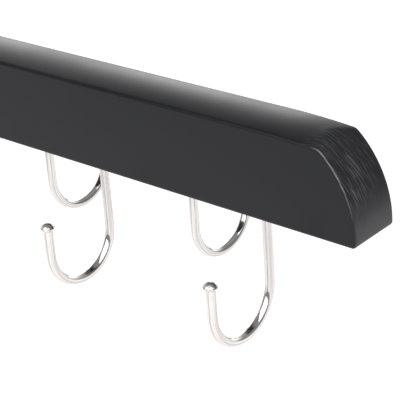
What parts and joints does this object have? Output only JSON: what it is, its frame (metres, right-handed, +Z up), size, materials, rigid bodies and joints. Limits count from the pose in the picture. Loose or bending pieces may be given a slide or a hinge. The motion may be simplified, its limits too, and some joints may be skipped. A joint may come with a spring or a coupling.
{
  "type": "tie hanger",
  "caption": "Long bar with a crowned top, carried by a swivelling wire rod hook, with staggered rows of small J-shaped wire hooks under it for neckties and belts.",
  "frame": {"origin": "the rod seat: the inside top of the rod hook, on the swivel axis, where a wardrobe rod carries the hanger", "axes": "+X along the bar, +Y to the back, +Z up along the swivel axis"},
  "size_m": [0.463, 0.0746, 0.142],
  "materials": {
    "black_paint": "black satin paint on hardwood, lightly brushed",
    "hook_plating": "bright nickel plating on steel wire",
    "zinc_plating": "dull zinc plating on steel"
  },
  "bodies": {
    "rod_hook": {"hanger_hook": "hook_plating", "lock_nut": "zinc_plating"},
    "rack": {"bar": "black_paint", "front_hook_1": "hook_plating", "front_hook_2": "hook_plating", "front_hook_3": "hook_plating", "front_hook_4": "hook_plating", "front_hook_5": "hook_plating", "front_hook_6": "hook_plating", "rear_hook_1": "hook_plating", "rear_hook_2": "hook_plating", "rear_hook_3": "hook_plating", "rear_hook_4": "hook_plating", "rear_hook_5": "hook_plating", "rear_hook_6": "hook_plating", "swivel_ferrule": "hook_plating", "thrust_washer": "zinc_plating", "bore_plug": "black_paint"}
  },
  "joints": [
    {"name": "swivel", "type": "hinge", "parent": "rod_hook", "child": "rack", "pos_m": [0, 0, -0.07044], "axis": [0, 0, 1], "continuous": true}
  ]
}
